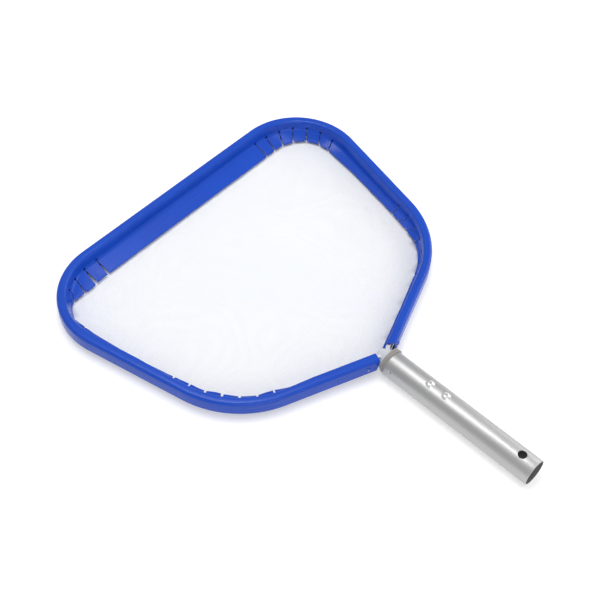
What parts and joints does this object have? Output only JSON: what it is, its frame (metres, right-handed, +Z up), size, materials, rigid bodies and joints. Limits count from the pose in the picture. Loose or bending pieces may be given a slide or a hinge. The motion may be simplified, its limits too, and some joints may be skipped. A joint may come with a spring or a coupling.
{
  "type": "leaf skimmer net",
  "caption": "Flat leaf skimmer head: stretched net in a bar frame with a flanged plastic edge guard, riveted to a short tubular pole socket with a lock hole.",
  "frame": {"origin": "centre of the socket tube's open end, on the tube's axis", "axes": "+Y from the tube's open end to the head's front edge, +Z up out of the net's open side, +X to the right"},
  "size_m": [0.4106, 0.5133, 0.0305],
  "materials": {
    "tube": "bright anodised, faint lengthwise grain",
    "plug": "pale moulded",
    "collar": "grey moulded",
    "bar": "mill",
    "steel": "plain",
    "guard": "satin gloss blue",
    "guard_rivet": "blue to match the guard",
    "net": "fine white mesh",
    "hem": "woven tape",
    "cord": "white extruded cord",
    "tube_rivet": "bright domed"
  },
  "bodies": {
    "root": {"handle_tube": "tube", "neck_plug": "plug", "neck_collar": "collar", "frame_bar": "bar", "frame_pins": "steel", "edge_guard": "guard", "guard_rivets": "guard_rivet", "guard_rivet_stems": "steel", "net_mesh": "net", "net_hem": "hem", "net_spline": "cord", "tube_rivets": "tube_rivet", "tube_rivet_stems": "steel"}
  },
  "joints": []
}
